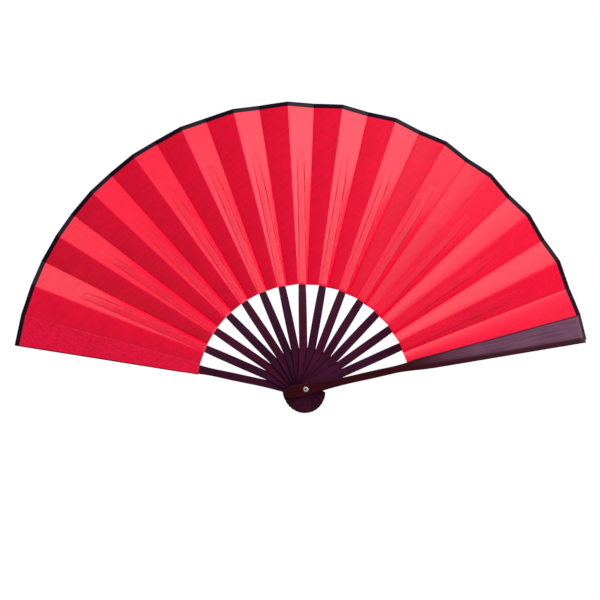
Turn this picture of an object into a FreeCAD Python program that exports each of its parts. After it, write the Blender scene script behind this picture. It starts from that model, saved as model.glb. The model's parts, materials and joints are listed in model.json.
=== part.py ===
import FreeCAD, Part
import math
import os

# A folding hand fan, standing open with its front toward -Y and its rivet's axis along Y through the origin.
# Stick 1 is the back guard at the left, sticks 2 to 14 are the ribs, and stick 15 is the front guard.

# The whole fan, in mm and degrees
LEAF_RADIUS = 306.0
LEAF_DEPTH = 194.0
HEAD_REACH = 24.0
OPENING = 155.6
STICKS = 15

# The pleats: how much more cloth there is than the open fan spans, and where the stick sits in its pleat.
# In degrees, the first pleat's border is further out, and the last guard's edge and border are further in.
FULLNESS = 1.08
STICK_SHARE = 0.433
FIRST_EXTRA = 0.28
LAST_TRIM = 0.33
BORDER_COVER = 0.6

# The sticks
RIB_THICKNESS = 1.2
RIB_END_WIDTH = 8.6
RIB_WAIST_WIDTH = 8.5
HEAD_WIDTH = 13.0
GUARD_THICKNESS = 2.8
GUARD_WAIST_WIDTH = 7.6
GUARD_LEG_WIDTH = 8.3
GUARD_SHOULDER_WIDTH = 10.6
GUARD_INSET = 1.5
TIP_LENGTH = 142.0
TIP_START_WIDTH = 7.0
TIP_THICKNESS = 0.4
TIP_END_WIDTH = 5.0
EDGE_CHAMFER = 0.2
GUARD_ROUNDING = 0.9
GUARD_END_SLOPE = 5.0
GUARD_END_DROP = 0.3

# The head's outline: the half widths of its end and its cheek as shares of the head's width, and how far
# back the cheek lies as a share of the head's reach
HEAD_CORNER_WIDTH = 0.28
HEAD_CHEEK_WIDTH = 0.46
HEAD_CHEEK_PLACE = 0.72

# A rib's neck, waist and middle as shares of its length, and the neck's half width as a share of the head's
RIB_NECK_PLACE = 0.2
RIB_NECK_WIDTH = 0.42
RIB_WAIST_PLACE = 0.42
RIB_MIDDLE_PLACE = 0.7

# A guard's waist, middle, leg and the two ends of its shoulder as shares of the leaf's inner radius, and its
# neck as a share of the head's reach out and of the head's width across
GUARD_NECK_PLACE = 0.95
GUARD_NECK_WIDTH = 0.36
GUARD_WAIST_PLACE = 0.42
GUARD_MIDDLE_PLACE = 0.7
GUARD_LEG_PLACE = 0.95
SHOULDER_START_PLACE = 1.05
SHOULDER_END_PLACE = 1.24

# A tip's shoulder: how far before the end as a share of the tip's length, and how wide it and the blunt end
# are as shares of the end's width
TIP_SHOULDER_PLACE = 0.16
TIP_SHOULDER_WIDTH = 1.25
TIP_POINT_WIDTH = 0.4

# The leaf
CLOTH_THICKNESS = 0.3
POCKET_PLY = 0.12
POCKET_MARGIN = 1.0
BINDING_WIDTH = 4.8
BINDING_PLY = 0.1

# The rivet
RIVET_DIAMETER = 4.0
RIVET_WALL = 0.7
RIVET_FLANGE_DIAMETER = 5.0
RIVET_FLANGE_THICKNESS = 0.5
RIVET_FLANGE_ROUNDING = 0.35
WASHER_DIAMETER = 5.6
WASHER_THICKNESS = 0.3

# Clearances
STACK_GAP = 0.1
RIVET_CLEARANCE = 0.05
FOLD_CLEARANCE = 0.15
TIP_GAP = 0.3

# Worked out from the sizes above
PITCH = RIB_THICKNESS + STACK_GAP
LEAF_INNER = LEAF_RADIUS - LEAF_DEPTH
RIB_END = LEAF_INNER - 1.0
RIM_THICKNESS = CLOTH_THICKNESS + 2 * BINDING_PLY
PLEAT = OPENING / (2 * (STICKS - 1)) * FULLNESS
LEFT = PLEAT * STICK_SHARE
RIGHT = PLEAT - LEFT
FOLD_OFFSET = PITCH / 4
MEETING_RADIUS = (LEAF_INNER + LEAF_RADIUS) / 2
STEP_SHARE = math.degrees(PITCH / MEETING_RADIUS) / PLEAT


def gaps(tilt):
    """The angles from each stick to the next when the ribs' pleats lean back by tilt."""
    lean = math.cos(math.radians(tilt))
    rise = math.sin(math.radians(tilt))
    inner = PLEAT * (lean + math.sqrt(1 - (rise + STEP_SHARE) ** 2))
    first = RIGHT + LEFT * lean + PLEAT * math.sqrt(1 - (STICK_SHARE * rise + STEP_SHARE) ** 2)
    last = LEFT + RIGHT * lean + PLEAT * math.sqrt(1 - ((1 - STICK_SHARE) * rise + STEP_SHARE) ** 2)
    return [first] + [inner] * (STICKS - 3) + [last]


def pleat_tilt():
    """The lean at which the pleats just fill the opening."""
    low, high = 0.0, 60.0
    for _ in range(60):
        middle = (low + high) / 2
        if sum(gaps(middle)) > OPENING:
            low = middle
        else:
            high = middle
    return low


TILT = pleat_tilt()
STICK_ANGLES = [90 + OPENING / 2]
for gap in gaps(TILT):
    STICK_ANGLES.append(STICK_ANGLES[-1] - gap)


def place(origin, x, y, z):
    """A placement with its axes along x, y and z."""
    matrix = FreeCAD.Matrix(
        x.x, y.x, z.x, origin.x,
        x.y, y.y, z.y, origin.y,
        x.z, y.z, z.z, origin.z,
        0, 0, 0, 1,
    )
    return FreeCAD.Placement(matrix)


def stick_frame(k, tilt):
    """Stick k's origin, its outward direction, and across and through it, turned about itself by tilt."""
    angle = math.radians(STICK_ANGLES[k - 1])
    lean = math.radians(tilt)
    origin = FreeCAD.Vector(0, ((STICKS + 1) / 2 - k) * PITCH, 0)
    out = FreeCAD.Vector(math.cos(angle), 0, math.sin(angle))
    along = FreeCAD.Vector(math.sin(angle), 0, -math.cos(angle))
    back = FreeCAD.Vector(0, 1, 0)
    across = along * math.cos(lean) + back * math.sin(lean)
    through = back * math.cos(lean) - along * math.sin(lean)
    return origin, out, across, through


def panel_tilt(k):
    return 0.0 if k in (1, STICKS) else TILT


def pleat_frame(k):
    """The free pleat after stick k: its fold's point and axes, and its width at the meeting radius."""
    origin, out, across, through = stick_frame(k, panel_tilt(k))
    right = math.radians(RIGHT)
    fold = out * math.cos(right) + across * math.sin(right)
    side = across * math.cos(right) - out * math.sin(right)
    point = origin - through * FOLD_OFFSET
    next_origin, next_out, next_across, _ = stick_frame(k + 1, panel_tilt(k + 1))
    left = math.radians(LEFT)
    edge = next_out * math.cos(left) - next_across * math.sin(left)
    meeting = next_origin + edge * MEETING_RADIUS - point
    reach, depth = meeting.dot(side), -meeting.dot(through)
    width = math.sqrt(reach ** 2 + depth ** 2 - FOLD_OFFSET ** 2)
    turn = math.atan2(depth, reach) + math.atan2(FOLD_OFFSET, width)
    away = side * math.cos(turn) - through * math.sin(turn)
    return point, fold, away, fold.cross(away), width


def prism(points, low, high):
    """A flat plate with straight edges between two heights."""
    corners = [FreeCAD.Vector(x, y, low) for x, y in points]
    face = Part.Face(Part.makePolygon(corners + corners[:1]))
    return face.extrude(FreeCAD.Vector(0, 0, high - low))


def outline(left_side, right_side, low, high):
    """A plate whose two long sides are smooth curves from the head outward, with a round head end."""
    sides = []
    for points in (left_side, right_side):
        curve = Part.BSplineCurve()
        curve.interpolate([FreeCAD.Vector(x, y, low) for x, y in points])
        sides.append(curve.toShape())
    start = FreeCAD.Vector(*left_side[0], low)
    end = FreeCAD.Vector(*right_side[0], low)
    head = Part.Arc(start, FreeCAD.Vector(-HEAD_REACH, 0, low), end).toShape()
    tip = Part.makeLine(sides[0].Vertexes[-1].Point, sides[1].Vertexes[-1].Point)
    face = Part.Face(Part.Wire(Part.__sortEdges__([head, sides[0], tip, sides[1]])))
    return face.extrude(FreeCAD.Vector(0, 0, high - low))


def face_edges(solid, height):
    """The edges that lie all in the plane at one height."""
    found = []
    for edge in solid.Edges:
        if abs(edge.BoundBox.ZMin - height) < 1e-4 and abs(edge.BoundBox.ZMax - height) < 1e-4:
            found.append(edge)
    return found


def rivet_hole(low, high):
    radius = RIVET_DIAMETER / 2 + RIVET_CLEARANCE
    return Part.makeCylinder(radius, high - low + 2, FreeCAD.Vector(0, 0, low - 1))


def head_points():
    """The head's half outline from its round end to the rivet, as distance and half width."""
    corner = HEAD_WIDTH * HEAD_CORNER_WIDTH
    end = -math.sqrt(HEAD_REACH ** 2 - corner ** 2)
    cheek = (-HEAD_REACH * HEAD_CHEEK_PLACE, HEAD_WIDTH * HEAD_CHEEK_WIDTH)
    return [(end, corner), cheek, (0, HEAD_WIDTH / 2)]


def rib(k):
    """A rib's blade, from its head to where it goes into the leaf."""
    side = head_points()
    side.append((RIB_END * RIB_NECK_PLACE, HEAD_WIDTH * RIB_NECK_WIDTH))
    side.append((RIB_END * RIB_WAIST_PLACE, RIB_WAIST_WIDTH / 2))
    side.append((RIB_END * RIB_MIDDLE_PLACE, (RIB_WAIST_WIDTH + RIB_END_WIDTH) / 4))
    side.append((RIB_END, RIB_END_WIDTH / 2))
    half = RIB_THICKNESS / 2
    blade = outline([(x, -y) for x, y in side], side, -half, half)
    blade = blade.makeChamfer(EDGE_CHAMFER, face_edges(blade, -half) + face_edges(blade, half))
    blade = blade.cut(rivet_hole(-half, half))
    blade.Placement = place(*stick_frame(k, 0))
    return blade


def tip_outline(margin):
    """The thin end of a rib, narrowing to a blunt point, with a margin all round."""
    start, end = RIB_END + TIP_GAP, LEAF_INNER + TIP_LENGTH
    wide, narrow = TIP_START_WIDTH / 2 + margin, TIP_END_WIDTH / 2 + margin
    shoulder = end - TIP_LENGTH * TIP_SHOULDER_PLACE
    middle, point = narrow * TIP_SHOULDER_WIDTH, narrow * TIP_POINT_WIDTH
    return [
        (start, -wide), (shoulder, -middle), (end + margin, -point),
        (end + margin, point), (shoulder, middle), (start, wide),
    ]


def rib_tip(k):
    half = TIP_THICKNESS / 2
    tip = prism(tip_outline(0.0), -half, half)
    tip.Placement = place(*stick_frame(k, TILT))
    return tip


def sector(start, end, inner, outer, trim_start, trim_end):
    """Corners of a pleat between two directions in degrees, cut back from each fold by its trim."""
    points = []
    for radius, angle, trim in (
        (inner, start, trim_start), (outer, start, trim_start),
        (outer, end, -trim_end), (inner, end, -trim_end),
    ):
        turn = math.radians(angle)
        x = radius * math.cos(turn) - trim * math.sin(turn)
        y = radius * math.sin(turn) + trim * math.cos(turn)
        points.append((x, y))
    return points


def cloth(start, end, trim_start, trim_end, low, high, rim_low, rim_high):
    """A pleat of cloth with the thicker binding along its outer edge."""
    sheet = prism(sector(start, end, LEAF_INNER, LEAF_RADIUS, trim_start, trim_end), low, high)
    inner = LEAF_RADIUS - BINDING_WIDTH
    binding = prism(sector(start, end, inner, LEAF_RADIUS, trim_start, trim_end), rim_low, rim_high)
    return sheet.fuse(binding)


def borders(k):
    """The angles from a stick to the two sides of its pleat or guard."""
    if k == 1:
        return LEFT + FIRST_EXTRA, RIGHT
    if k == STICKS:
        return LEFT, RIGHT - LAST_TRIM
    return LEFT, RIGHT


def leaf_panel(k):
    """A pleat that a stick carries: glued flat to a guard, or with a rib's tip in its pocket."""
    half, rim = CLOTH_THICKNESS / 2, RIM_THICKNESS / 2
    left, right = borders(k)
    if k == 1:
        panel = cloth(-left, right, 0, 0, rim - CLOTH_THICKNESS, rim, -rim, rim)
    elif k == STICKS:
        right -= BORDER_COVER
        panel = cloth(-left, right, FOLD_CLEARANCE, 0, -rim, CLOTH_THICKNESS - rim, -rim, rim)
    else:
        panel = cloth(-left, right, FOLD_CLEARANCE, 0, -half, half, -rim, rim)
        pocket = TIP_THICKNESS / 2 + POCKET_PLY
        bulge = prism(tip_outline(POCKET_MARGIN), -pocket, pocket)
        beside, deep = TIP_START_WIDTH * 2, TIP_THICKNESS * 10
        mouth = prism([(0, -beside), (LEAF_INNER, -beside), (LEAF_INNER, beside), (0, beside)], -deep, deep)
        hollow = prism(tip_outline(0.0), -TIP_THICKNESS / 2, TIP_THICKNESS / 2)
        panel = panel.fuse(bulge.cut(mouth)).removeSplitter().cut(hollow)
    panel.Placement = place(*stick_frame(k, panel_tilt(k)))
    return panel


def leaf_pleat(k):
    """The free pleat from stick k's panel to the next stick's panel."""
    point, fold, away, back, width = pleat_frame(k)
    end = math.degrees(math.asin(width / MEETING_RADIUS))
    half, rim = CLOTH_THICKNESS / 2, RIM_THICKNESS / 2
    middle = FOLD_OFFSET
    pleat = cloth(
        0, end, 0, FOLD_CLEARANCE,
        middle - half, middle + half, middle - rim, middle + rim,
    ).removeSplitter()
    pleat.Placement = place(point, fold, away, back)
    return pleat


def guard(k):
    """A guard plank: a rounded leg, a shoulder, and a wide end recessed for the pleat glued to it."""
    facing = 1 if k == 1 else -1
    leg_face = -facing * RIB_THICKNESS / 2
    outer_face = facing * (RIM_THICKNESS / 2 + GUARD_THICKNESS)
    low, high = sorted((leg_face, outer_face))
    waist, leg = GUARD_WAIST_WIDTH / 2, GUARD_LEG_WIDTH / 2
    shoulder, tip = LEAF_INNER * SHOULDER_END_PLACE, LEAF_RADIUS - GUARD_INSET
    left_side, right_side = borders(k)
    sides = []
    for sign, spread in ((-1, left_side), (1, right_side)):
        side = [(x, sign * y) for x, y in head_points()]
        side.append((HEAD_REACH * GUARD_NECK_PLACE, sign * HEAD_WIDTH * GUARD_NECK_WIDTH))
        side.append((LEAF_INNER * GUARD_WAIST_PLACE, sign * waist))
        side.append((LEAF_INNER * GUARD_MIDDLE_PLACE, sign * (waist + leg) / 2))
        side.append((LEAF_INNER * GUARD_LEG_PLACE, sign * leg))
        side.append((LEAF_INNER * SHOULDER_START_PLACE, sign * GUARD_SHOULDER_WIDTH / 2))
        slope = math.radians(spread)
        side.append((shoulder * math.cos(slope), sign * shoulder * math.sin(slope)))
        sides.append(side)
    leg_plank = outline(sides[0], sides[1], low, high)
    wide = prism(sector(-left_side, right_side, shoulder, tip, 0, 0), low, high)
    plank = leg_plank.fuse(wide).removeSplitter()
    plank = plank.makeFillet(GUARD_ROUNDING, face_edges(plank, outer_face))
    recess_low, recess_high = sorted((leg_face - facing, facing * RIM_THICKNESS / 2))
    far, beside = LEAF_RADIUS + GUARD_END_SLOPE, LEAF_DEPTH / 2
    corners = [(RIB_END, -beside), (far, -beside), (far, beside), (RIB_END, beside)]
    recess = prism(corners, recess_low, recess_high)
    plank = plank.cut(recess).cut(rivet_hole(low, high))
    end = tip * math.cos(math.radians(RIGHT))
    slope_depth = GUARD_THICKNESS * GUARD_END_DROP
    bevel = Part.makePolygon([
        FreeCAD.Vector(end - GUARD_END_SLOPE, -beside, outer_face),
        FreeCAD.Vector(end + GUARD_END_SLOPE, -beside, outer_face),
        FreeCAD.Vector(end + GUARD_END_SLOPE, -beside, outer_face - facing * slope_depth * 2),
        FreeCAD.Vector(end - GUARD_END_SLOPE, -beside, outer_face),
    ])
    plank = plank.cut(Part.Face(bevel).extrude(FreeCAD.Vector(0, beside * 2, 0)))
    plank.Placement = place(*stick_frame(k, 0))
    return plank


STACK_HALF = (STICKS - 1) / 2 * PITCH + RIM_THICKNESS / 2 + GUARD_THICKNESS


def about_y(shape):
    """Turns a shape made along Z so that it runs along Y."""
    shape.Placement = FreeCAD.Placement(
        FreeCAD.Vector(0, 0, 0), FreeCAD.Rotation(FreeCAD.Vector(1, 0, 0), -90)
    )
    return shape


def rivet_tube():
    """The tube through all the sticks, with its ends rolled out over the washers."""
    outer, inner = RIVET_DIAMETER / 2, RIVET_DIAMETER / 2 - RIVET_WALL
    rim = STACK_HALF + WASHER_THICKNESS
    reach = rim + RIVET_FLANGE_THICKNESS
    tube = Part.makeCylinder(outer, 2 * reach, FreeCAD.Vector(0, 0, -reach))
    for side in (-1, 1):
        flange = Part.makeCylinder(
            RIVET_FLANGE_DIAMETER / 2, RIVET_FLANGE_THICKNESS,
            FreeCAD.Vector(0, 0, side * rim), FreeCAD.Vector(0, 0, side),
        )
        rounding = face_edges(flange, side * reach)
        tube = tube.fuse(flange.makeFillet(RIVET_FLANGE_ROUNDING, rounding))
    bore = Part.makeCylinder(inner, 2 * reach + 2, FreeCAD.Vector(0, 0, -reach - 1))
    return about_y(tube.removeSplitter().cut(bore))


def rivet_washer(side):
    start = FreeCAD.Vector(0, 0, STACK_HALF if side > 0 else -STACK_HALF - WASHER_THICKNESS)
    ring = Part.makeCylinder(WASHER_DIAMETER / 2, WASHER_THICKNESS, start)
    return about_y(ring.cut(Part.makeCylinder(RIVET_DIAMETER / 2, WASHER_THICKNESS, start)))


def save(name, shape):
    shape.exportStep("parts/" + name + ".step")


os.makedirs("parts", exist_ok=True)
save("rivet_tube", rivet_tube())
save("rivet_washer_back", rivet_washer(1))
save("rivet_washer_front", rivet_washer(-1))
save("back_guard", guard(1))
save("front_guard", guard(STICKS))
for number in range(2, STICKS):
    save(f"rib_{number:02d}", rib(number))
    save(f"rib_tip_{number:02d}", rib_tip(number))
for number in range(1, STICKS + 1):
    save(f"leaf_panel_{number:02d}", leaf_panel(number))
for number in range(1, STICKS):
    save(f"leaf_pleat_{number:02d}", leaf_pleat(number))
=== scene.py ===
import bpy
import json
import math
import random
from mathutils import Matrix, Vector


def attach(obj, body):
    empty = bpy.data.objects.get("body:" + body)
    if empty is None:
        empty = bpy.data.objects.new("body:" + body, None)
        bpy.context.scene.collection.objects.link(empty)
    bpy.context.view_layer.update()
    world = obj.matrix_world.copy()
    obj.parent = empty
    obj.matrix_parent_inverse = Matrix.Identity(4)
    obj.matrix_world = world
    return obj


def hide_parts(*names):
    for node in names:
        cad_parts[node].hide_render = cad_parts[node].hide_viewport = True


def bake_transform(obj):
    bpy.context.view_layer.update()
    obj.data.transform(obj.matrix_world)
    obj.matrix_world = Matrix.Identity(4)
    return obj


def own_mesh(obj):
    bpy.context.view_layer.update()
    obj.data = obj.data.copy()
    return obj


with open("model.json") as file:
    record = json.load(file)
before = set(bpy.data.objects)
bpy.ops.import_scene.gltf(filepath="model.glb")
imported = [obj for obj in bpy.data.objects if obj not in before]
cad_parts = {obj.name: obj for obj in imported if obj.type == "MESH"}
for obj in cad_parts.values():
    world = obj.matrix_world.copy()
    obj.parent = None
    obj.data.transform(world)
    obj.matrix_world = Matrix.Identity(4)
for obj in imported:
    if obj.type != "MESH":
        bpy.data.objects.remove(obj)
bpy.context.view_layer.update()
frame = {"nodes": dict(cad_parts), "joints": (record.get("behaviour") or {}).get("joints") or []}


# ---- Ribs -------------------------------------------------------------------------------------------------
# Thirteen thin blades of dark stained wood, sawn flat and rounded along their edges. Each turns on the rivet
# at its head, twists as it nears the leaf, and thins to a tongue that is glued inside its pleat.

class Wire:
    """A node's output that can be written in a sum, where each operator adds its Math node. One without a
    socket is only a way into its tree."""

    def __init__(self, tree, socket=None):
        self.tree = tree
        self.socket = socket

    def node(self, kind, settings, sockets):
        """Adds a node: its settings are set first, and then each socket is given its value or link."""
        made = self.tree.nodes.new(kind)
        for name, value in settings.items():
            setattr(made, name, value)
        for name, value in sockets.items():
            socket = made.inputs[name]
            if isinstance(value, Wire):
                self.tree.links.new(value.socket, socket)
            else:
                socket.default_value = value
        return made

    def out(self, made, name=0):
        return Wire(self.tree, made.outputs[name])

    def new(self, kind, settings, sockets, name=0):
        """Adds a node, and gives one of its outputs."""
        return self.out(self.node(kind, settings, sockets), name)

    def sum(self, operation, *values):
        return self.new("ShaderNodeMath", {"operation": operation}, dict(enumerate(values)))

    def __add__(self, other): return self.sum("ADD", self, other)
    def __radd__(self, other): return self.sum("ADD", other, self)
    def __sub__(self, other): return self.sum("SUBTRACT", self, other)
    def __rsub__(self, other): return self.sum("SUBTRACT", other, self)
    def __mul__(self, other): return self.sum("MULTIPLY", self, other)
    def __rmul__(self, other): return self.sum("MULTIPLY", other, self)
    def __truediv__(self, other): return self.sum("DIVIDE", self, other)
    def __rtruediv__(self, other): return self.sum("DIVIDE", other, self)
    def __pow__(self, other): return self.sum("POWER", self, other)
    def __neg__(self): return self.sum("MULTIPLY", self, -1.0)
    def __abs__(self): return self.sum("ABSOLUTE", self)
    def sin(self): return self.sum("SINE", self)
    def cos(self): return self.sum("COSINE", self)
    def root(self): return self.sum("SQRT", self)
    def low(self, other): return self.sum("MINIMUM", self, other)
    def high(self, other): return self.sum("MAXIMUM", self, other)

    def ramp(self, start, end, soft=False):
        """0 before start, 1 after end, and in between straight or soft."""
        kind = "SMOOTHSTEP" if soft else "LINEAR"
        ends = {"Value": self, "From Min": start, "From Max": end}
        return self.new("ShaderNodeMapRange", {"interpolation_type": kind, "clamp": True}, ends)

    def times(self, number):
        """A vector times a number."""
        return self.new("ShaderNodeVectorMath", {"operation": "SCALE"}, {0: self, "Scale": number})

    def plus(self, other):
        """A vector and another one."""
        return self.new("ShaderNodeVectorMath", {"operation": "ADD"}, {0: self, 1: other})


def recipe(name, inputs):
    """A Geometry Nodes tree with these named inputs: a way into it, and a wire from each input."""
    tree = bpy.data.node_groups.new(name, "GeometryNodeTree")
    tree.interface.new_socket("Geometry", in_out="OUTPUT", socket_type="NodeSocketGeometry")
    for title, kind in inputs.items():
        tree.interface.new_socket(title, in_out="INPUT", socket_type="NodeSocket" + kind)
    group = tree.nodes.new("NodeGroupInput")
    return Wire(tree), {title: Wire(tree, group.outputs[title]) for title in inputs}


# points closer than this, in metres, are one
seam = 2e-6


def close(shell, material, sharp):
    """Joins a shell's seams, shades it smooth but for edges sharper than an angle, and ends its tree."""
    shell = shell.new("GeometryNodeMergeByDistance", {}, {"Geometry": shell, "Distance": seam})
    shell = shell.new("GeometryNodeSetShadeSmooth", {}, {"Geometry": shell, "Shade Smooth": True})
    chosen = shell.sum("GREATER_THAN", shell.new("GeometryNodeInputMeshEdgeAngle", {}, {}), sharp)
    shell = shell.new("GeometryNodeSetShadeSmooth", {"domain": "EDGE"}, {
        "Geometry": shell, "Selection": chosen, "Shade Smooth": False})
    shell = shell.new("GeometryNodeRealizeInstances", {}, {"Geometry": shell})
    shell = shell.new("GeometryNodeSetMaterial", {}, {"Geometry": shell, "Material": material})
    shell.node("NodeGroupOutput", {}, {"Geometry": shell})


def grow(name, tree, **values):
    """A piece made by a tree with these values of its inputs, as a plain mesh."""
    start = bpy.data.meshes.new(name)
    grown = bpy.data.objects.new(name, start)
    bpy.context.scene.collection.objects.link(grown)
    modifier = grown.modifiers.new("Make", "NODES")
    modifier.node_group = tree
    for socket in tree.interface.items_tree:
        title = socket.name.replace(" ", "_").lower()
        if socket.in_out == "INPUT" and title in values:
            modifier[socket.identifier] = values[title]
    ready = grown.evaluated_get(bpy.context.evaluated_depsgraph_get())
    mesh = bpy.data.meshes.new_from_object(ready)
    grown.modifiers.remove(modifier)
    grown.data = mesh
    bpy.data.meshes.remove(start)
    mesh.name = name
    return grown


# A rib's sizes in metres: its round end beyond the rivet, its widths and where it has them, its thicknesses,
# and the stretch at the blade's end over which it thins
head_reach, head_width, head_round = 0.0238, 0.013, 0.0075
waist_width, end_width = 0.0086, 0.0090
tongue_start_width, tongue_width = 0.0070, 0.0056
waist_at, blade_end, shoulder_at, tongue_end = 0.044, 0.111, 0.240, 0.2535
neck_length = 0.004
thins_before, thins_after = 0.014, 0.0025
blade_thickness, tongue_thickness, edge_round = 0.0012, 0.00022, 0.00022
twist_start = 0.062
bore_radius, bore_sides, drill_length = 0.00203, 32, 0.04
# The rows of its mesh, which lie closer together at the head, the steps round each corner of its section, and
# the angle past which an edge stays sharp
rows, row_crowding = 150, 1.5
corners, corner_steps = 4, 3
rib_sharp = 0.3
quarter = math.pi / 2

nodes, given = recipe("rib", {
    "Origin": "Vector", "Out": "Vector", "Across": "Vector", "Back": "Vector", "Twist": "Float",
    "Head Width": "Float", "Waist Width": "Float", "End Width": "Float", "Thickness": "Float",
    "Material": "Material",
})
rib_tree = nodes.tree
around = corners * corner_steps
grid = nodes.new("GeometryNodeMeshGrid", {}, {
    "Size X": 1.0, "Size Y": 1.0, "Vertices X": rows, "Vertices Y": around + 1})
spot = nodes.node("ShaderNodeSeparateXYZ", {}, {"Vector": nodes.new("GeometryNodeInputPosition", {}, {})})
along = nodes.out(spot, "X") + 0.5
step = nodes.sum("ROUND", (nodes.out(spot, "Y") + 0.5) * around)
corner = nodes.sum("FLOOR", nodes.sum("MODULO", step, around) / corner_steps)
# open fault: the last step's turn isn't brought back to the first one's, which leaves a narrow slit along
# one edge of the blade
turn = (corner + (step - corner * corner_steps) / (corner_steps - 1)) * quarter
diagonal = corner * quarter + quarter / 2
radius = (along ** row_crowding) * (head_reach + tongue_end) - head_reach
head_end = (1.0 - (1.0 - ((radius + head_reach) / head_round).low(1.0)) ** 2.0).high(0.0).root()
tongue_tip = (1.0 - ((radius - shoulder_at) / (tongue_end - shoulder_at)).high(0.0) ** 3.0).high(0.0).root()
half_width = given["Head Width"] * 0.5
for wide, narrow, start, end, soft in (
    (given["Head Width"], given["Waist Width"], 0.0, waist_at, True),
    (given["Waist Width"], given["End Width"], waist_at, blade_end, False),
    (given["End Width"], tongue_start_width, blade_end, blade_end + neck_length, False),
    (tongue_start_width, tongue_width, blade_end, shoulder_at, False),
):
    half_width = half_width - (wide - narrow) * 0.5 * radius.ramp(start, end, soft)
half_width = half_width * head_end * tongue_tip
thinning = radius.ramp(blade_end - thins_before, blade_end + thins_after, True)
half_depth = given["Thickness"] * 0.5 * (1.0 - thinning) + thinning * (tongue_thickness / 2)
rounding = half_width.low(half_depth).low(edge_round)
side = nodes.sum("SIGN", diagonal.cos()) * (half_width - rounding) + rounding * turn.cos()
rise = nodes.sum("SIGN", diagonal.sin()) * (half_depth - rounding) + rounding * turn.sin()
twisted = given["Twist"] * radius.ramp(twist_start, blade_end, True)
across = given["Across"].times(twisted.cos()).plus(given["Back"].times(twisted.sin()))
through = given["Back"].times(twisted.cos()).plus(given["Across"].times(-twisted.sin()))
place = given["Origin"].plus(given["Out"].times(radius)).plus(across.times(side)).plus(through.times(rise))
blade = nodes.new("GeometryNodeSetPosition", {}, {"Geometry": grid, "Position": place})
blade = nodes.new("GeometryNodeMergeByDistance", {}, {"Geometry": blade, "Distance": seam})
blade = nodes.new("GeometryNodeFlipFaces", {}, {"Mesh": blade})
drill = nodes.new("GeometryNodeMeshCylinder", {}, {
    "Vertices": bore_sides, "Radius": bore_radius, "Depth": drill_length})
drill = nodes.new("GeometryNodeTransform", {}, {"Geometry": drill, "Rotation": (quarter, 0.0, 0.0)})
blade = nodes.new("GeometryNodeMeshBoolean", {"operation": "DIFFERENCE"}, {"Mesh 1": blade, "Mesh 2": drill})
close(blade, given["Material"], rib_sharp)


def blank(owner):
    """A way into the node tree of a material or a world, which is emptied."""
    owner.use_nodes = True
    owner.node_tree.nodes.clear()
    return Wire(owner.node_tree)


# The grain is long along a stick and fine across it, and each stick shows its own stretch of it
grain_scale, grain_run, grain_offset = (16.0, 1100.0, 1400.0), 7, 3.1
cloudiness = 45.0
streak_share = 0.7
bump_depth = 0.0002


def rosewood(name, angle, deep, warm, polish, gloss, painted_light=None):
    """Dark stained wood with its grain along a stick at this angle, from a deep to a warm colour. Painted
    light is given the places, with X out along the stick, and the wood's colour, and gives it with painted
    sheen and shade."""
    material = bpy.data.materials.new(name)
    nodes = blank(material)
    place = nodes.new("ShaderNodeTexCoord", {}, {}, "Object")
    place = nodes.new("ShaderNodeMapping", {}, {"Vector": place, "Rotation": (0.0, angle, 0.0)})
    stretched = nodes.new("ShaderNodeMapping", {}, {
        "Vector": place, "Scale": grain_scale, "Location": (angle * grain_run, grain_offset, 0.0)})
    grain = nodes.new("ShaderNodeTexNoise", {}, {
        "Vector": stretched, "Scale": 1.0, "Detail": 4.0, "Roughness": 0.6, "Distortion": 0.3})
    broad = nodes.new("ShaderNodeTexNoise", {}, {"Vector": place, "Scale": cloudiness, "Detail": 2.0})
    shade = grain.ramp(0.35, 0.7, True) * streak_share + broad.ramp(0.3, 0.7) * (1.0 - streak_share)
    colour = nodes.new("ShaderNodeMix", {"data_type": "RGBA"}, {
        "Factor": shade, "A": (*deep, 1.0), "B": (*warm, 1.0)}, "Result")
    if painted_light:
        colour = painted_light(place, colour)
    bump = nodes.new("ShaderNodeBump", {}, {"Strength": 0.25, "Distance": bump_depth, "Height": grain})
    surface = nodes.new("ShaderNodeBsdfPrincipled", {}, {
        "Base Color": colour, "Roughness": polish + (grain - 0.5) * 0.2, "Normal": bump,
        "Specular IOR Level": gloss})
    nodes.node("ShaderNodeOutputMaterial", {}, {"Surface": surface})
    return material


# Where each stick lies: its angle up from the right, its way out from the rivet, and its depth in the stack
joints = {joint["name"]: joint for joint in frame["joints"]}
back = Vector((0, 1, 0))
sticks, middle = 15, 8
outs, depths = {}, {}
for k in range(2, sticks):
    outs[k] = -Vector(joints[f"panel_{k:02d}_tilt"]["axis"])
    depths[k] = joints[f"panel_{k:02d}_tilt"]["pos_m"][1]
pitch = depths[2] - depths[3]
angles = {k: math.atan2(outs[k].z, outs[k].x) for k in outs}
for k, name, sign in ((1, "back_guard_swing", 1), (sticks, "front_guard_swing", -1)):
    angles[k] = angles[middle] + sign * math.radians(joints[name]["range_deg"][1])
    outs[k] = Vector((math.cos(angles[k]), 0, math.sin(angles[k])))
    depths[k] = (middle - k) * pitch
lean = math.radians(joints[f"panel_{middle:02d}_tilt"]["range_deg"][1])
flat_across = {k: back.cross(outs[k]) for k in outs}
origins = {k: Vector((0, depths[k], 0)) for k in outs}

dice = random.Random(8)
for k in range(2, sticks):
    reddish = dice.uniform(0.75, 1.35)
    wood = rosewood(f"rosewood_rib_{k:02d}", angles[k], deep=(0.022 * reddish, 0.002, 0.010),
                    warm=(0.062 * reddish, 0.007, 0.030), polish=0.5, gloss=0.04)
    body = "hub" if k == middle else f"rib_{k:02d}"
    rib = grow(f"rib_blade_{k:02d}", rib_tree, origin=origins[k], out=outs[k], across=flat_across[k],
               back=back, twist=lean, head_width=head_width, waist_width=waist_width, end_width=end_width,
               thickness=blade_thickness, material=wood)
    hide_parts(f"rib_{k:02d}", f"rib_tip_{k:02d}")
    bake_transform(rib)
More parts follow.
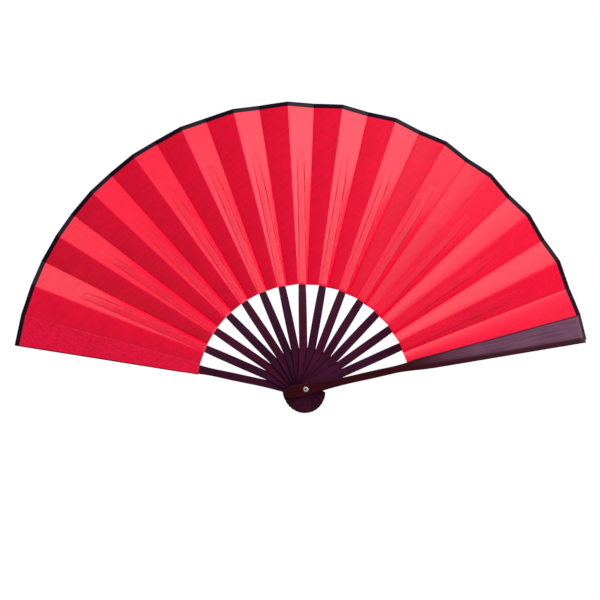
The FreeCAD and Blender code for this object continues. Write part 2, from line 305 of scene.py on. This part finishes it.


# ---- Guards -----------------------------------------------------------------------------------------------
# The two outer sticks are thicker planks of the same wood. Where they cover a pleat, their satin purple is a
# painted sheen, which is left off down the leg, and painted shade darkens their rims. They are sawn, rounded
# along their edges, and glued to the leaf's two ends.

# How far out the planks end, and the angles of their upper and lower edges to their middle line
guard_end = 0.3041
upper_edge, lower_edge = math.radians(2.6), math.radians(3.07)
# The painted sheen: how far out it starts and is full, where painted shade stops it before the tip, how much
# of it is left on the rims, and the share of the lower rim's painted shade that is drawn out softly
sheen_starts, sheen_full = 0.10, 0.20
tip_shade_rim = 0.0012, 0.0028
sheen_on_rims, lower_fade = 0.07, 0.3


def sheen_and_rim_shade(unsheened_colour, upper_shade_rim, lower_shade_rim):
    """A guard's painted sheen and shade: this colour where the painted sheen of its wide end is left off,
    which is down its leg, and as painted shade along its rims, each this wide."""
    def painted_light(place, colour):
        spot = place.node("ShaderNodeSeparateXYZ", {}, {"Vector": place})
        outward, aside = place.out(spot, "X"), place.out(spot, "Z")
        from_upper = outward * math.sin(upper_edge) - aside * math.cos(upper_edge)
        from_lower = outward * math.sin(lower_edge) + aside * math.cos(lower_edge)
        # painted shade along the upper rim, the tip end and the lower rim
        clear_of_rim_shade = from_upper.ramp(upper_shade_rim * 0.3, upper_shade_rim, True)
        clear_of_rim_shade = clear_of_rim_shade.low((guard_end - outward).ramp(*tip_shade_rim, True))
        clear_of_rim_shade = clear_of_rim_shade.low(from_lower.ramp(lower_shade_rim * 0.3, lower_shade_rim * 1.5, True) * lower_fade
                            + from_lower.ramp(lower_shade_rim * 0.5, lower_shade_rim, True) * (1.0 - lower_fade))
        # the painted sheen, from the leg out to the wide end
        sheen_shown = outward.ramp(sheen_starts, sheen_full, True)
        sheen_shown = sheen_shown * (clear_of_rim_shade * (1.0 - sheen_on_rims) + sheen_on_rims)
        return place.new("ShaderNodeMix", {"data_type": "RGBA"}, {
            "Factor": sheen_shown, "A": (*unsheened_colour, 1.0), "B": colour}, "Result")
    return painted_light


def coated(name, material):
    """The CAD's own piece of this name, in this material."""
    node = frame["nodes"][name]
    node.data.materials.clear()
    node.data.materials.append(material)
    return node


# Each guard's purple is a painted sheen over its own darker colour, given first, with the widths of the
# painted shade along its upper and lower rims
for k, name, unsheened_colour, upper_shade_rim, lower_shade_rim in (
    (1, "back_guard", (0.036, 0.0025, 0.015), 0.0012, 0.0012),
    (sticks, "front_guard", (0.030, 0.0003, 0.0035), 0.0018, 0.0075),
):
    wood = rosewood(f"rosewood_{name}", angles[k], deep=(0.085, 0.031, 0.060), warm=(0.175, 0.072, 0.125),
                    polish=0.4, gloss=0.1, painted_light=sheen_and_rim_shade(unsheened_colour, upper_shade_rim, lower_shade_rim))
    coated(name, wood)


# ---- Rivet ------------------------------------------------------------------------------------------------
# A nickel plated brass tube through all the heads, rolled out over a thin washer at each end.

nickel = bpy.data.materials.new("nickel")
nodes = blank(nickel)
place = nodes.new("ShaderNodeTexCoord", {}, {}, "Object")
scuffs = nodes.new("ShaderNodeTexNoise", {}, {"Vector": place, "Scale": 900.0, "Detail": 3.0})
surface = nodes.new("ShaderNodeBsdfPrincipled", {}, {
    "Base Color": (0.93, 0.92, 0.90, 1.0), "Metallic": 1.0, "Roughness": scuffs * 0.2 + 0.3})
nodes.node("ShaderNodeOutputMaterial", {}, {"Surface": surface})
for name in ("rivet_tube", "rivet_washer_front", "rivet_washer_back"):
    coated(name, nickel)


# ---- Leaf -------------------------------------------------------------------------------------------------
# One arc of dyed silk on a thin backing, folded into 29 pleats that share their creases. Every other pleat is
# glued over a stick; the ones between are free and fold flat in front of them when the fan is shut.

leaf_inner, leaf_outer = 0.112, 0.306
cloth_thickness = 0.0003
# the share of a pleat that lies to the left of its stick
stick_share = 0.433
# The plies come together over this width at every edge, and the pocket between them fits the tongue
hem = 0.0012
pocket_half, pocket_taper, pocket_walls = 0.0042, 0.0008, (0.82, 1.15)
pocket_before, pocket_after = 0.001, 0.005
# The front ply rises from a foot at the tongue's left to a ridge at its right, flat-topped, and fades outward
foot_left = 0.0038
ridge_right, ridge_drift, ridge_settles = 0.0036, 0.0012, 0.21
ridge_blunt, ridge_cut = 0.85, 0.6
relief_fades, relief_ends = 0.205, 0.262
pleat_sharp = 0.7


def ridge_at(radius):
    """How far the ridge over a tongue lies to the right of its stick."""
    return ridge_right + ridge_drift * radius.ramp(leaf_inner, ridge_settles)


nodes, given = recipe("pleat", {
    "Near Origin": "Vector", "Near Way": "Vector", "Far Origin": "Vector", "Far Way": "Vector",
    "Normal": "Vector", "Inner Radius": "Float", "Outer Radius": "Float", "Thickness": "Float",
    "Pocket": "Float", "Relief": "Float", "Bow": "Float", "Rows": "Int", "Columns": "Int",
    "Material": "Material",
})
pleat_tree = nodes.tree
grid = nodes.new("GeometryNodeMeshGrid", {}, {
    "Size X": 1.0, "Size Y": 1.0, "Vertices X": given["Rows"], "Vertices Y": given["Columns"]})
spot = nodes.node("ShaderNodeSeparateXYZ", {}, {"Vector": nodes.new("GeometryNodeInputPosition", {}, {})})
along, across = nodes.out(spot, "X") + 0.5, nodes.out(spot, "Y") + 0.5
radius = given["Inner Radius"] + (given["Outer Radius"] - given["Inner Radius"]) * along
near = given["Near Origin"].plus(given["Near Way"].times(radius))
far = given["Far Origin"].plus(given["Far Way"].times(radius))
place = near.times(1.0 - across).plus(far.times(across))
span = nodes.new("ShaderNodeVectorMath", {"operation": "DISTANCE"}, {0: near, 1: far}, "Value")
lay = nodes.new("ShaderNodeCombineXYZ", {}, {"X": (across - stick_share) * span, "Y": radius})
ridge = stick_share + ridge_at(radius) / span
foot = stick_share - foot_left / span
fade = 1.0 - radius.ramp(relief_fades, relief_ends, True)
tent = ((across - foot) / (ridge - foot)).low((1.0 - across) / (1.0 - ridge)).high(0.0)
tent = tent - (tent - ridge_blunt).high(0.0) * ridge_cut
bowed = given["Bow"] * across * (1.0 - across) * 4.0
# open fault: the relief isn't brought down at the leaf's inner edge, so the pocket's mouth isn't closed there
height = bowed + given["Relief"] * fade * tent
edge_gap = ((across.low(1.0 - across)) * span / hem).low(1.0)
end_gap = ((radius - given["Inner Radius"]).low(given["Outer Radius"] - radius) / hem).low(1.0)
wall = given["Thickness"] * 0.5 * edge_gap.high(0.0).root() * end_gap.high(0.0).root()
beside = abs(across - stick_share) * span
room = beside / (pocket_half - pocket_taper * radius.ramp(leaf_inner, tongue_end))
room = 1.0 - room.ramp(*pocket_walls, True)
room = room * (1.0 - radius.ramp(tongue_end - pocket_before, tongue_end + pocket_after, True))
wall = wall + given["Pocket"] * 0.5 * room * end_gap
laid = nodes.new("GeometryNodeStoreNamedAttribute", {"data_type": "FLOAT2", "domain": "CORNER"}, {
    "Geometry": grid, "Name": "lay", "Value": lay})
front = nodes.new("GeometryNodeSetPosition", {}, {
    "Geometry": laid, "Position": place.plus(given["Normal"].times(-(height + wall)))})
front = nodes.new("GeometryNodeFlipFaces", {}, {"Mesh": front})
rear = nodes.new("GeometryNodeSetPosition", {}, {
    "Geometry": laid, "Position": place.plus(given["Normal"].times(wall - bowed))})
joined = nodes.node("GeometryNodeJoinGeometry", {}, {})
for ply in (rear, front):
    pleat_tree.links.new(ply.socket, joined.inputs[0])
close(nodes.out(joined), given["Material"], pleat_sharp)


def slubs(place, turn, scale, detail=3.0):
    """Noise turned in the plane of the leaf and then stretched, as threads, streaks or clouds."""
    turned = place.new("ShaderNodeMapping", {}, {"Vector": place, "Rotation": (0.0, turn, 0.0)})
    turned = place.new("ShaderNodeMapping", {}, {"Vector": turned, "Scale": scale})
    return place.new("ShaderNodeTexNoise", {}, {
        "Vector": turned, "Scale": 1.0, "Detail": detail, "Roughness": 0.55})


def silk(name, colour, gloss=0.27, glued=None):
    """Dyed silk: fine slubs both ways and faint diagonal streaks. Glued is what the glue under it does to its
    shade, height and roughness, with any painted shade in its creases, given the places and a soft cloud of
    noise."""
    weave_turn, thread_scale, streak_scale = 0.66, (150.0, 150.0, 1500.0), (50.0, 50.0, 330.0)
    material = bpy.data.materials.new(name)
    nodes = blank(material)
    place = nodes.new("ShaderNodeTexCoord", {}, {}, "Object")
    warp = slubs(place, weave_turn, thread_scale)
    weft = slubs(place, weave_turn + quarter, thread_scale)
    streaks = slubs(place, weave_turn, streak_scale)
    cloud = slubs(place, 0.0, (30.0, 30.0, 30.0), detail=2.0)
    shade = 0.45 + streaks * 0.30 + (warp + weft) * 0.32 + cloud * 0.18
    height = warp + weft + streaks * 0.6
    roughness = 0.31
    if glued:
        shade, height, roughness = glued(place, cloud, shade, height, roughness)
    grey = nodes.new("ShaderNodeCombineColor", {}, {"Red": shade, "Green": shade, "Blue": shade})
    tint = nodes.new("ShaderNodeMix", {"data_type": "RGBA", "blend_type": "MULTIPLY"}, {
        "Factor": 1.0, "A": (*colour, 1.0), "B": grey}, "Result")
    bump = nodes.new("ShaderNodeBump", {}, {"Strength": 0.4, "Distance": bump_depth, "Height": height})
    surface = nodes.new("ShaderNodeBsdfPrincipled", {}, {
        "Base Color": tint, "Roughness": roughness, "Specular IOR Level": gloss, "Normal": bump})
    nodes.node("ShaderNodeOutputMaterial", {}, {"Surface": surface})
    return material


def laid_at(place):
    """How far a point of a pleat lies to the right of its stick, and how far out, in metres."""
    lay = place.new("ShaderNodeUVMap", {"uv_map": "lay"}, {})
    spot = place.node("ShaderNodeSeparateXYZ", {}, {"Vector": lay})
    return place.out(spot, "X"), place.out(spot, "Y")


def over_guard(place, cloud, shade, height, roughness):
    """Stuck flat to a plank: the glue's mottle shows through, and the first pleat's outer border is dark."""
    mottle, border_slope, border_edge, border_dark = 0.16, 0.0475, (0.0005, 0.0013), 0.75
    aside, radius = laid_at(place)
    grains = slubs(place, -0.5, (210.0, 210.0, 430.0)).ramp(0.35, 0.65, True)
    border = 1.0 - (aside + radius * border_slope).ramp(*border_edge, True)
    shade = shade * (1.0 - mottle * 0.5 + grains * mottle) * (1.0 - border * border_dark)
    return shade, height + grains * 1.5, roughness


def over_tongue(place, cloud, shade, height, roughness):
    """Glued over a rib's tongue: creases along the tongue's two edges and round its end, worn here and there
    and darkened with painted shade, and the small ripples of the glue between them."""
    crease_starts, crease_full, crease_fades = 0.120, 0.165, 0.225
    left_at, wandering, tip_curve, tip_short = 0.0034, 0.0012, 260.0, 0.002
    wide_crease, fine_crease, crease_shade = 0.0011, 0.0009, 0.55
    glue_edge, glue_end, ripples_across, ripples_out = (0.0033, 0.0042), (0.235, 0.252), 130.0, 720.0
    aside, radius = laid_at(place)
    wander = (cloud - 0.5) * wandering
    worn = slubs(place, 0.3, (60.0, 60.0, 60.0), detail=2.0).ramp(0.32, 0.62, True)
    along = radius.ramp(crease_starts, crease_full, True)
    along = along * (1.0 - radius.ramp(crease_fades, tongue_end, True))
    off_right = abs(aside - (ridge_at(radius) + wander))
    off_left = abs(aside + left_at + wander)
    off_end = abs(radius + aside * aside * tip_curve - (tongue_end - tip_short))
    right_crease = (1.0 - off_right.ramp(0.0, wide_crease, True)) * along * (0.35 + 0.65 * worn)
    left_crease = (1.0 - off_left.ramp(0.0, fine_crease, True)) * along * worn * 0.6
    inside = 1.0 - abs(aside).ramp(*glue_edge, True)
    end_crease = (1.0 - off_end.ramp(0.0, fine_crease, True)) * inside * worn * 0.5
    crease = right_crease.high(left_crease).high(end_crease)
    stuck = inside * (1.0 - radius.ramp(*glue_end, True))
    rippled = place.new("ShaderNodeTexNoise", {}, {
        "Vector": place.new("ShaderNodeCombineXYZ", {}, {
            "X": aside * ripples_across, "Y": radius * ripples_out, "Z": cloud * 6.0}),
        "Scale": 1.0, "Detail": 2.0})
    # the creases are darkened with painted shade
    shade = shade * (1.0 - crease * crease_shade) * (1.0 - stuck * (0.04 + rippled * 0.08))
    height = height - crease * 1.4 + stuck * rippled * 1.2
    return shade, height, roughness + crease * 0.4


red = (0.80, 0.0008, 0.032)
red_silk = silk("silk_red", red)
rib_silk = silk("silk_red_over_ribs", red, glued=over_tongue)
plank_silk = silk("silk_red_over_guards", (0.70, 0.0008, 0.036), glued=over_guard)
braid = silk("silk_black_braid", (0.011, 0.006, 0.014), gloss=0.06)

# The creases: each stick's pleat runs from its left one, a mountain, to its right one, a valley. The first
# pleat is cut a little wider, and the last one's border is tucked in behind the front guard
right = math.acos(max(-1.0, min(1.0, outs[middle].dot(-Vector(joints[f"pleat_{middle:02d}_fold"]["axis"])))))
left = right * stick_share / (1 - stick_share)
first_wider, last_tucked = math.radians(0.28), math.radians(0.93)
normals, mountains, valleys, spreads = {}, {}, {}, {}
for k in outs:
    tilt = 0.0 if k in (1, sticks) else lean
    across = flat_across[k] * math.cos(tilt) + back * math.sin(tilt)
    normals[k] = back * math.cos(tilt) - flat_across[k] * math.sin(tilt)
    to_left = left + first_wider if k == 1 else left
    to_right = right - last_tucked if k == sticks else right
    mountains[k] = outs[k] * math.cos(to_left) - across * math.sin(to_left)
    valleys[k] = outs[k] * math.cos(to_right) + across * math.sin(to_right)
    spreads[k] = to_left + to_right
# the guards' pleats lie on a film of glue
glue = back * 0.0001
beds = {**origins, 1: origins[1] + glue, sticks: origins[sticks] - glue}
ring_area = (leaf_outer ** 2 - leaf_inner ** 2) / 2
binding_width, binding_over, binding_proud = 0.0048, 0.00025, 0.0002
pocket_depth, ridge_height, free_bow = 0.00034, 0.0011, 0.0005


def bound(name, material, **ends):
    """The folded braid over the leaf's outer edge, on one pleat."""
    piece = grow(name, pleat_tree, inner_radius=leaf_outer - binding_width,
                 outer_radius=leaf_outer + binding_proud, thickness=cloth_thickness + binding_over,
                 pocket=0.0, relief=0.0, rows=14, columns=26, material=material, **ends)
    return piece


for k in range(1, sticks + 1):
    name = f"{k:02d}"
    carried = k not in (1, sticks)
    body = f"panel_{name}" if carried else ("back_guard" if k == 1 else "front_guard")
    ends = dict(near_origin=beds[k], near_way=mountains[k], far_origin=beds[k], far_way=valleys[k],
                normal=normals[k], bow=0.0)
    pleat = grow(f"leaf_stick_pleat_{name}", pleat_tree, inner_radius=leaf_inner, outer_radius=leaf_outer,
                 thickness=cloth_thickness, pocket=pocket_depth if carried else 0.0,
                 relief=ridge_height if carried else 0.0, rows=130, columns=34,
                 material=rib_silk if carried else plank_silk, **ends)
    edging = bound(f"binding_stick_pleat_{name}", braid, **ends)
    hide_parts(f"leaf_panel_{name}")
    for piece in (pleat, edging):
        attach(piece, body)
        if carried:
            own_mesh(piece)
    leaf_outer * spreads[k]
    spreads[k] * ring_area

reach = (leaf_inner + leaf_outer) / 2
for k in range(1, sticks):
    name = f"{k:02d}"
    near = beds[k] + valleys[k] * reach
    far = beds[k + 1] + mountains[k + 1] * reach
    normal = valleys[k].cross(far - near).normalized()
    ends = dict(near_origin=beds[k], near_way=valleys[k], far_origin=beds[k + 1], far_way=mountains[k + 1],
                normal=normal, bow=free_bow)
    pleat = grow(f"leaf_free_pleat_{name}", pleat_tree, inner_radius=leaf_inner, outer_radius=leaf_outer,
                 thickness=cloth_thickness, pocket=0.0, relief=0.0, rows=90, columns=26,
                 material=red_silk, **ends)
    edging = bound(f"binding_free_pleat_{name}", braid, **ends)
    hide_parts(f"leaf_pleat_{name}")
    for piece in (pleat, edging):
        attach(piece, f"pleat_{name}")
        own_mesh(piece)
    f"leaf_stick_pleat_{k + 1:02d}"


# ---- Floor, light and camera ------------------------------------------------------------------------------
# The fan is held open in the air, high above a plain pale floor, in a white studio. Soft lamps stand at its
# right, above it and behind it, and its silk mirrors neither the floor nor most of the studio's white.

floor_half, floor_level = 6, -1.2
floor_corners = [(x * floor_half, y * floor_half, floor_level)
                 for x, y in ((-1, -1), (1, -1), (1, 1), (-1, 1))]
floor = bpy.data.objects.new("floor", bpy.data.meshes.new("floor"))
floor.data.from_pydata(floor_corners, [], [(0, 1, 2, 3)])
bpy.context.scene.collection.objects.link(floor)
pale = bpy.data.materials.new("pale_floor")
pale.use_nodes = True
pale.node_tree.nodes["Principled BSDF"].inputs["Base Color"].default_value = (0.9, 0.9, 0.9, 1.0)
pale.node_tree.nodes["Principled BSDF"].inputs["Roughness"].default_value = 0.8
floor.data.materials.append(pale)
floor.visible_glossy = False

# The studio's white as it lights the fan, what the camera sees more of it, and what the gloss sees less of it
ambient, seen_more, mirrored_less = 0.36, 0.65, 0.30
world = bpy.data.worlds.new("studio")
bpy.context.scene.world = world
nodes = blank(world)
rays = nodes.node("ShaderNodeLightPath", {}, {})
seen, mirrored = nodes.out(rays, "Is Camera Ray"), nodes.out(rays, "Is Glossy Ray")
strength = ambient + seen * seen_more - mirrored * mirrored_less
white = nodes.new("ShaderNodeBackground", {}, {"Color": (1.0, 1.0, 1.0, 1.0), "Strength": strength})
nodes.node("ShaderNodeOutputWorld", {}, {"Surface": white})


def set_up(name, data, target, azimuth, elevation, distance, roll=0.0):
    """A lamp or a camera that faces a target, from this far to its right and above it in degrees."""
    azimuth, elevation = math.radians(azimuth), math.radians(elevation)
    way = Vector((math.sin(azimuth) * math.cos(elevation), -math.cos(azimuth) * math.cos(elevation),
                  math.sin(elevation)))
    held = bpy.data.objects.new(name, data)
    bpy.context.scene.collection.objects.link(held)
    held.location = Vector(target) + way * distance
    held.rotation_mode = "QUATERNION"
    rolled = Matrix.Rotation(math.radians(roll), 4, "Z").to_quaternion()
    held.rotation_quaternion = way.to_track_quat("Z", "Y") @ rolled
    return held


leaf_middle, lamp_distance = (0, 0, 0.15), 1.6
view_middle, view_distance = (-0.0025, 0.0, 0.0955), 4.0
for name, azimuth, elevation, size, power in (
    ("right_lamp", 49, 10, (1.1, 1.0), 18.5),
    ("top_lamp", -8, 52, (1.6, 0.6), 14.5),
    ("back_lamp", 170, 30, (1.4, 1.4), 14.0),
):
    light = bpy.data.lights.new(name, "AREA")
    light.shape = "ELLIPSE"
    light.size, light.size_y = size
    light.energy = power
    set_up(name, light, leaf_middle, azimuth, elevation, lamp_distance)

lens = bpy.data.cameras.new("camera")
lens.sensor_width = 36.0
lens.lens = 228.4
lens.clip_start, lens.clip_end = 0.1, 100.0
bpy.context.scene.camera = set_up("camera", lens, view_middle, -8.23, -6.54, view_distance, roll=-1.06)
bpy.context.scene.view_settings.view_transform = "Standard"
